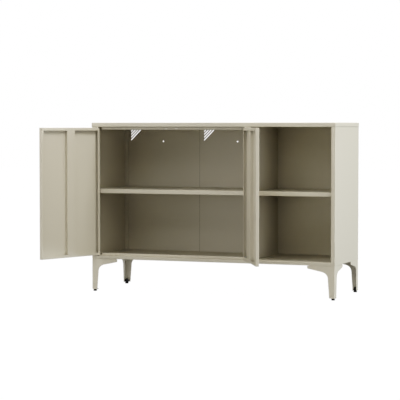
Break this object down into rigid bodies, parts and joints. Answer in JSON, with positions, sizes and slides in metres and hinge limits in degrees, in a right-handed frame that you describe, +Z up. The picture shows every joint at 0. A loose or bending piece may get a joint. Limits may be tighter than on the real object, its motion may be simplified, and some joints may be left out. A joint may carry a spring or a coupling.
{
  "type": "sideboard",
  "caption": "Low metal sideboard on folded legs: a bay with a pair of hinged doors and a shelf, beside an open bay with a shelf.",
  "frame": {"origin": "on the floor, below the centre of the box that the cabinet and its doors, standing open as stored, fill; the carcass's own centre is 53.1 mm to the right of it and 172.7 mm behind it", "axes": "+X to the right as seen from the front, +Y to the back, +Z up"},
  "size_m": [1.3078, 0.747, 0.802],
  "materials": {
    "powder_coat": "satin powder coat, warm greige, with a fine texture",
    "zinc_steel": "bright zinc plate",
    "black_plastic": "matt moulded",
    "nylon": "natural nylon, satin"
  },
  "bodies": {
    "carcass": {"top_panel": "powder_coat", "bottom_panel": "powder_coat", "left_side_panel": "powder_coat", "right_side_panel": "powder_coat", "divider_panel": "powder_coat", "slotted_post_left": "powder_coat", "slotted_post_right": "powder_coat", "back_sheet_left": "powder_coat", "back_sheet_middle": "powder_coat", "back_sheet_right": "powder_coat", "top_door_rail": "powder_coat", "bottom_door_rail": "powder_coat", "shelf_left": "powder_coat", "shelf_right": "powder_coat", "leg_front_left": "powder_coat", "leg_front_right": "powder_coat", "leg_rear_left": "powder_coat", "leg_rear_right": "powder_coat", "leg_bracket_front_left": "zinc_steel", "leg_bracket_front_right": "zinc_steel", "leg_bracket_rear_left": "zinc_steel", "leg_bracket_rear_right": "zinc_steel", "foot_socket_front_left": "black_plastic", "foot_socket_front_right": "black_plastic", "foot_socket_rear_left": "black_plastic", "foot_socket_rear_right": "black_plastic", "leg_screw_front_left_1": "zinc_steel", "leg_screw_front_left_2": "zinc_steel", "leg_screw_front_right_1": "zinc_steel", "leg_screw_front_right_2": "zinc_steel", "leg_screw_rear_left_1": "zinc_steel", "leg_screw_rear_left_2": "zinc_steel", "leg_screw_rear_right_1": "zinc_steel", "leg_screw_rear_right_2": "zinc_steel", "shelf_clip_left_front_left": "zinc_steel", "shelf_clip_left_front_right": "zinc_steel", "shelf_clip_left_rear_left": "zinc_steel", "shelf_clip_left_rear_right": "zinc_steel", "shelf_clip_right_front_left": "zinc_steel", "shelf_clip_right_front_right": "zinc_steel", "shelf_clip_right_rear_left": "zinc_steel", "shelf_clip_right_rear_right": "zinc_steel", "magnetic_catch_left": "nylon", "magnetic_catch_right": "nylon", "hinge_bush_left_top": "nylon", "hinge_bush_left_bottom": "nylon", "hinge_bush_right_top": "nylon", "hinge_bush_right_bottom": "nylon"},
    "left_door": {"left_door_pan": "powder_coat", "left_door_stiffener": "powder_coat", "left_door_top_pin": "zinc_steel", "left_door_bottom_pin": "zinc_steel"},
    "right_door": {"right_door_pan": "powder_coat", "right_door_stiffener": "powder_coat", "right_door_top_pin": "zinc_steel", "right_door_bottom_pin": "zinc_steel"},
    "foot_front_left": {"levelling_foot_front_left": "black_plastic"},
    "foot_front_right": {"levelling_foot_front_right": "black_plastic"},
    "foot_rear_left": {"levelling_foot_rear_left": "black_plastic"},
    "foot_rear_right": {"levelling_foot_rear_right": "black_plastic"}
  },
  "joints": [
    {"name": "left_door_hinge", "type": "hinge", "parent": "carcass", "child": "left_door", "pos_m": [-0.51936, -0.02226, 0.47575], "axis": [0, 0, 1], "range_deg": [-9.5, 110.5]},
    {"name": "right_door_hinge", "type": "hinge", "parent": "carcass", "child": "right_door", "pos_m": [0.22564, -0.02226, 0.47575], "axis": [0, 0, 1], "range_deg": [-117.5, 2.5]},
    {"name": "foot_front_left_screw", "type": "slide", "parent": "carcass", "child": "foot_front_left", "axis": [0, 0, -1], "range_m": [0, 0.01]},
    {"name": "foot_front_right_screw", "type": "slide", "parent": "carcass", "child": "foot_front_right", "axis": [0, 0, -1], "range_m": [0, 0.01]},
    {"name": "foot_rear_left_screw", "type": "slide", "parent": "carcass", "child": "foot_rear_left", "axis": [0, 0, -1], "range_m": [0, 0.01]},
    {"name": "foot_rear_right_screw", "type": "slide", "parent": "carcass", "child": "foot_rear_right", "axis": [0, 0, -1], "range_m": [0, 0.01]}
  ]
}
